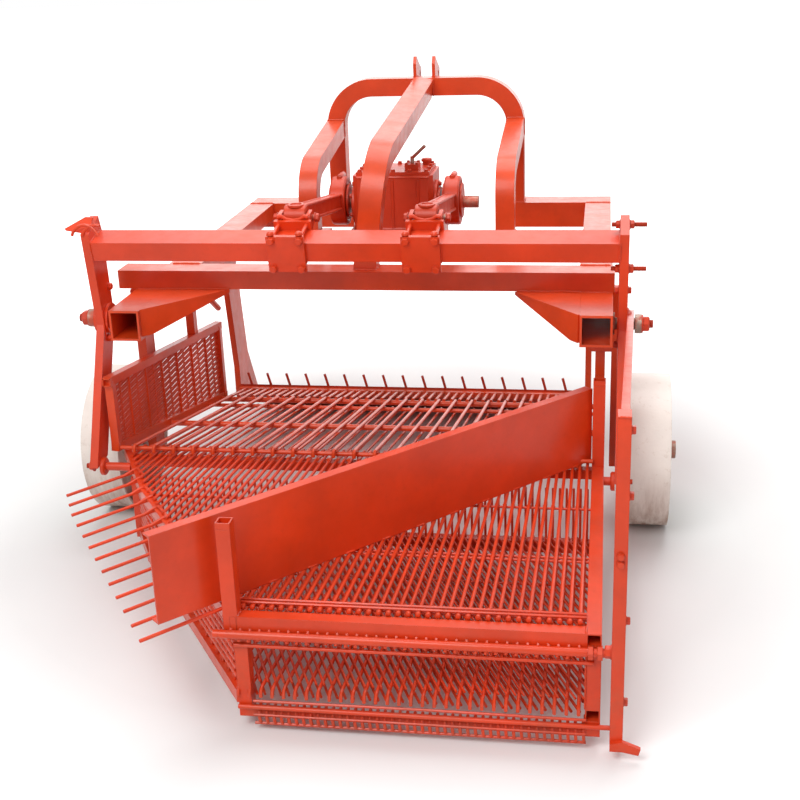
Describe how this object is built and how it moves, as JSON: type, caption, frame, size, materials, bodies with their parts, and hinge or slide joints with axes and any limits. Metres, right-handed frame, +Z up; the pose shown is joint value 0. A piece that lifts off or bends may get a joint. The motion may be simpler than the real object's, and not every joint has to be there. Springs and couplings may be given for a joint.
{
  "type": "tractor-mounted chinese artichoke harvester with a shaking sieve",
  "caption": "Three-point-hitch root harvester: lifting blade, fixed grate, shaking rod sieves with a slanting deflector, eccentric drive and two steel gauge wheels.",
  "frame": {"origin": "on the ground, midway between the outer ends of the two wheel axles and midway along the machine", "axes": "+Y is forward, towards the tractor; +X is to the right as seen from behind; +Z is up"},
  "size_m": [1.63, 2.162, 1.172],
  "materials": {
    "frame_paint": "gloss",
    "sieve_paint": "gloss",
    "gearbox_paint": "satin",
    "drive_paint": "satin",
    "blade_steel": "satin",
    "bare_steel": "satin",
    "wheel_paint": "satin"
  },
  "bodies": {
    "frame": {"main_frame": "frame_paint", "tail_tube_left": "frame_paint", "tail_tube_right": "frame_paint", "gussets": "frame_paint", "hitch_arch": "frame_paint", "top_link_ears": "frame_paint", "lower_hitch": "frame_paint", "lower_link_pins": "bare_steel", "centre_strut": "frame_paint", "side_struts": "frame_paint", "gearbox_mount": "gearbox_paint", "gearbox": "gearbox_paint", "gearbox_lid": "gearbox_paint", "shift_lever": "bare_steel", "wheel_legs": "frame_paint", "axle_stubs": "bare_steel", "pivot_pins": "bare_steel", "blade": "blade_steel", "blade_carrier": "blade_steel", "blade_teeth": "blade_steel", "blade_legs": "frame_paint", "front_grate": "frame_paint", "side_wall_left": "frame_paint", "side_wall_right": "frame_paint", "wall_hangers": "frame_paint"},
    "sieve": {"rocker_beam": "sieve_paint", "clamps": "sieve_paint", "clamp_pins": "bare_steel", "levers": "sieve_paint", "rear_bar": "sieve_paint", "rear_arm": "sieve_paint", "bar_foot": "sieve_paint", "upper_frame": "sieve_paint", "upper_grate": "sieve_paint", "fingers": "sieve_paint", "deflector": "sieve_paint", "deflector_posts": "sieve_paint", "lower_pins": "sieve_paint", "lower_frame": "sieve_paint", "lower_grate": "sieve_paint", "lower_bars_left": "sieve_paint", "lower_bars_right": "sieve_paint", "rear_shafts": "sieve_paint"},
    "drive_shaft": {"cross_shaft": "bare_steel", "eccentrics": "drive_paint"},
    "input": {"input_shaft": "bare_steel"},
    "rod_left": {"con_rod_left": "drive_paint"},
    "rod_right": {"con_rod_right": "drive_paint"},
    "wheel_left": {"wheel_left": "wheel_paint"},
    "wheel_right": {"wheel_right": "wheel_paint"}
  },
  "joints": [
    {"name": "sieve_swing", "type": "hinge", "parent": "frame", "child": "sieve", "pos_m": [0.037, -0.094, 0.608], "axis": [1, 0, 0], "range_deg": [-1.1, 1.1]},
    {"name": "drive_shaft_spin", "type": "hinge", "parent": "frame", "child": "drive_shaft", "pos_m": [0.037, 0.531, 0.79], "axis": [1, 0, 0], "continuous": true},
    {"name": "input_spin", "type": "hinge", "parent": "frame", "child": "input", "pos_m": [0.002, 0.661, 0.79], "axis": [0, 1, 0], "continuous": true},
    {"name": "rod_left_turn", "type": "hinge", "parent": "drive_shaft", "child": "rod_left", "pos_m": [-0.168, 0.531, 0.795], "axis": [1, 0, 0], "continuous": true},
    {"name": "rod_right_turn", "type": "hinge", "parent": "drive_shaft", "child": "rod_right", "pos_m": [0.17, 0.531, 0.795], "axis": [1, 0, 0], "continuous": true},
    {"name": "wheel_left_spin", "type": "hinge", "parent": "frame", "child": "wheel_left", "pos_m": [-0.741, 0.071, 0.205], "axis": [1, 0, 0], "continuous": true},
    {"name": "wheel_right_spin", "type": "hinge", "parent": "frame", "child": "wheel_right", "pos_m": [0.741, 0.071, 0.205], "axis": [1, 0, 0], "continuous": true}
  ],
  "couplings": [
    {"joint": "input_spin", "follows": "drive_shaft_spin", "ratio": 1},
    {"joint": "rod_left_turn", "follows": "drive_shaft_spin", "ratio": -1},
    {"joint": "rod_right_turn", "follows": "drive_shaft_spin", "ratio": -1}
  ]
}
